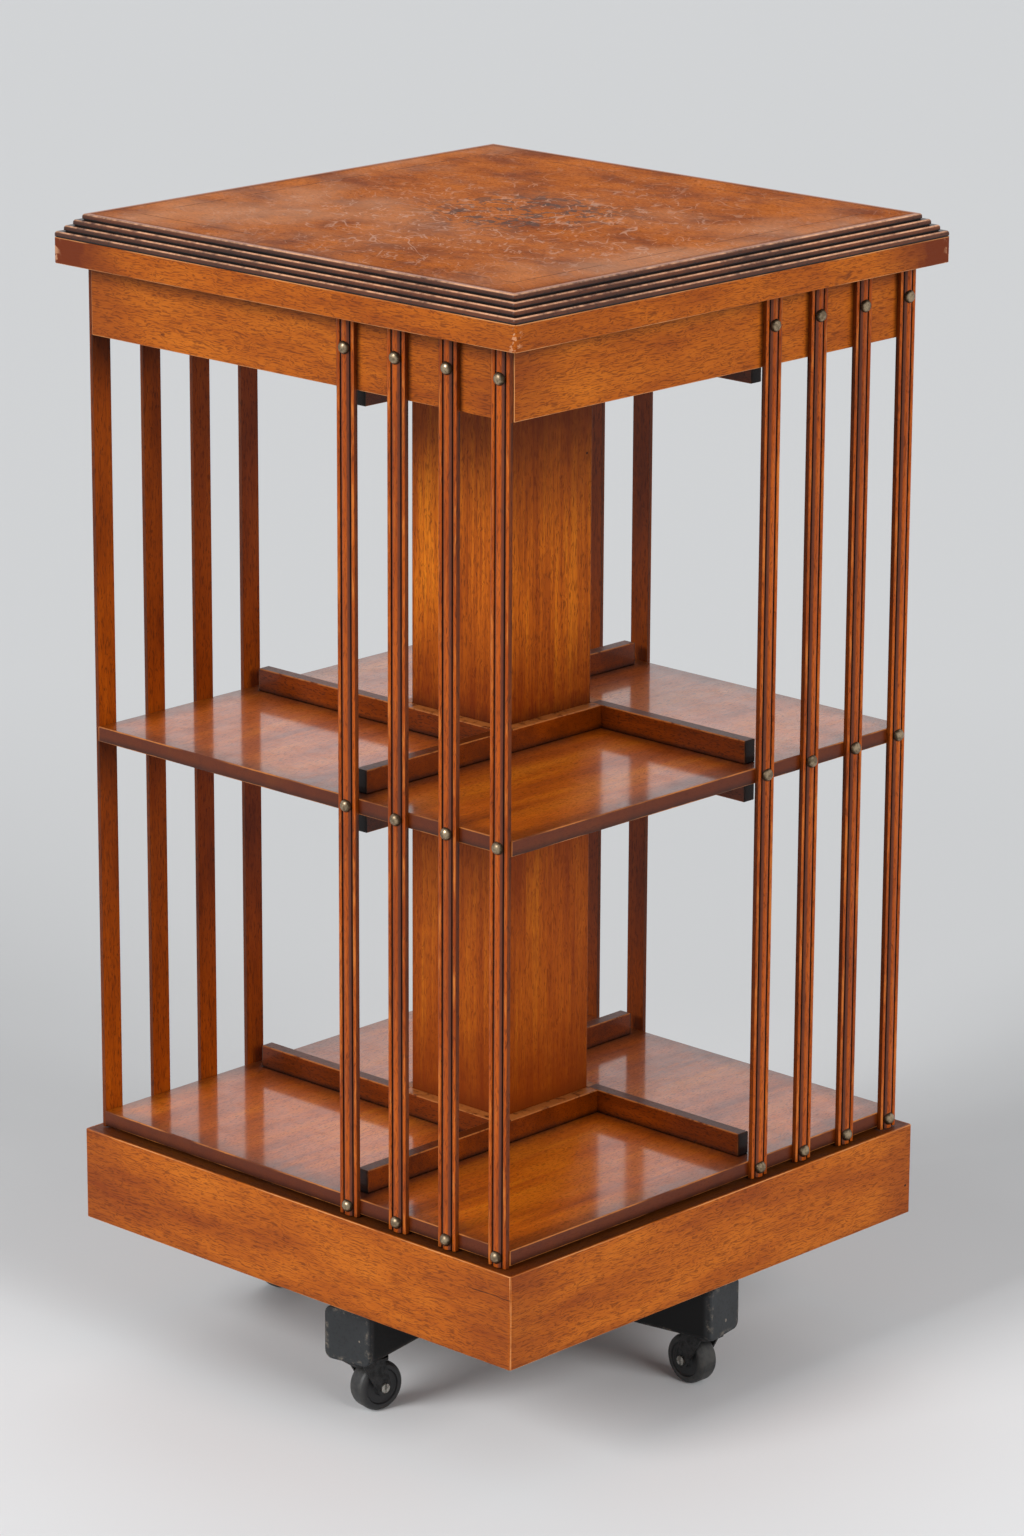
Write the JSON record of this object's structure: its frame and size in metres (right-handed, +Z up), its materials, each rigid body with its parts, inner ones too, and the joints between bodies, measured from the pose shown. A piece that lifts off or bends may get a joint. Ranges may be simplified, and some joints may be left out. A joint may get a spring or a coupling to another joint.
{
  "type": "revolving bookcase",
  "caption": "Square revolving bookcase in reddish-brown wood with two tiers, slatted sides, brass studs, a reeded top moulding and a black cross stand on swivel casters.",
  "frame": {"origin": "on the floor, on the spindle's axis under the middle of the case", "axes": "+Z up along the spindle; -Y out of the front side of the case and +X out of its right side, which are the two sides that the picture shows"},
  "size_m": [0.48, 0.48, 0.9074],
  "materials": {
    "case_wood": "orange-brown polished mahogany with a fine dark fleck",
    "shelf_wood": "glossy red-brown polished mahogany, worn at the edges",
    "top_wood": "mottled veneer with old scratches and dark wear",
    "moulding_wood": "very dark polished wood, rubbed through to orange on the noses",
    "slat_wood": "reddish-brown polished wood, dark in the grooves",
    "carcass_wood": "plain stained softwood, unpolished",
    "stud_brass": "aged dull brass",
    "bearing_brass": "turned brass",
    "bright_steel": "turned steel, lightly oiled",
    "flange_iron": "black-painted casting",
    "stand_paint": "wood under satin black-grey paint, chipped and rubbed at the edges",
    "fitting_steel": "dull zinc-plated steel",
    "fork_steel": "pressed steel, black",
    "wheel_rubber": "black hard rubber with a grey sheen"
  },
  "bodies": {
    "stand": {"spindle": "bright_steel", "spindle_flange": "flange_iron", "flange_bolts": "bright_steel", "stand_arm_lower": "stand_paint", "stand_arm_upper": "stand_paint", "caster_sockets": "fitting_steel"},
    "case": {"plinth_front": "case_wood", "plinth_right": "case_wood", "plinth_back": "case_wood", "plinth_left": "case_wood", "plinth_bearers": "carcass_wood", "plinth_corner_blocks": "carcass_wood", "bottom_shelf": "shelf_wood", "mid_shelf": "shelf_wood", "column_board_front": "case_wood", "column_board_right": "case_wood", "column_board_back": "case_wood", "column_board_left": "case_wood", "book_stops_lower": "shelf_wood", "book_stops_upper": "shelf_wood", "soffit_board": "carcass_wood", "frieze_front": "case_wood", "frieze_right": "case_wood", "frieze_back": "case_wood", "frieze_left": "case_wood", "top_board": "case_wood", "top_moulding": "moulding_wood", "top_panel": "top_wood", "slat_front_1": "slat_wood", "slat_front_2": "slat_wood", "slat_front_3": "slat_wood", "slat_front_4": "slat_wood", "slat_right_1": "slat_wood", "slat_right_2": "slat_wood", "slat_right_3": "slat_wood", "slat_right_4": "slat_wood", "slat_back_1": "slat_wood", "slat_back_2": "slat_wood", "slat_back_3": "slat_wood", "slat_back_4": "slat_wood", "slat_left_1": "slat_wood", "slat_left_2": "slat_wood", "slat_left_3": "slat_wood", "slat_left_4": "slat_wood", "brass_studs": "stud_brass", "bearing_block": "carcass_wood", "pivot_cup": "bearing_brass", "lower_bush": "bearing_brass"},
    "caster_1": {"caster_fork_1": "fork_steel", "caster_axle_1": "bright_steel"},
    "wheel_1": {"caster_wheel_1": "wheel_rubber"},
    "caster_2": {"caster_fork_2": "fork_steel", "caster_axle_2": "bright_steel"},
    "wheel_2": {"caster_wheel_2": "wheel_rubber"},
    "caster_3": {"caster_fork_3": "fork_steel", "caster_axle_3": "bright_steel"},
    "wheel_3": {"caster_wheel_3": "wheel_rubber"},
    "caster_4": {"caster_fork_4": "fork_steel", "caster_axle_4": "bright_steel"},
    "wheel_4": {"caster_wheel_4": "wheel_rubber"}
  },
  "joints": [
    {"name": "case_turn", "type": "hinge", "parent": "stand", "child": "case", "pos_m": [0, 0, 0.5], "axis": [0, 0, 1], "continuous": true},
    {"name": "caster_swivel_1", "type": "hinge", "parent": "stand", "child": "caster_1", "pos_m": [0.03386, -0.19204, 0.0444], "axis": [0, 0, 1], "continuous": true},
    {"name": "caster_swivel_2", "type": "hinge", "parent": "stand", "child": "caster_2", "pos_m": [0.19204, 0.03386, 0.0444], "axis": [0, 0, 1], "continuous": true},
    {"name": "caster_swivel_3", "type": "hinge", "parent": "stand", "child": "caster_3", "pos_m": [-0.03386, 0.19204, 0.0444], "axis": [0, 0, 1], "continuous": true},
    {"name": "caster_swivel_4", "type": "hinge", "parent": "stand", "child": "caster_4", "pos_m": [-0.19204, -0.03386, 0.0444], "axis": [0, 0, 1], "continuous": true},
    {"name": "wheel_roll_1", "type": "hinge", "parent": "caster_1", "child": "wheel_1", "pos_m": [0.03664, -0.17628, 0.02], "axis": [-0.9848, 0.1736, 0], "continuous": true},
    {"name": "wheel_roll_2", "type": "hinge", "parent": "caster_2", "child": "wheel_2", "pos_m": [0.17606, 0.0347, 0.02], "axis": [-0.0523, -0.9986, 0], "continuous": true},
    {"name": "wheel_roll_3", "type": "hinge", "parent": "caster_3", "child": "wheel_3", "pos_m": [-0.02586, 0.17818, 0.02], "axis": [0.866, 0.5, 0], "continuous": true},
    {"name": "wheel_roll_4", "type": "hinge", "parent": "caster_4", "child": "wheel_4", "pos_m": [-0.20052, -0.04743, 0.02], "axis": [0.848, -0.5299, 0], "continuous": true}
  ]
}
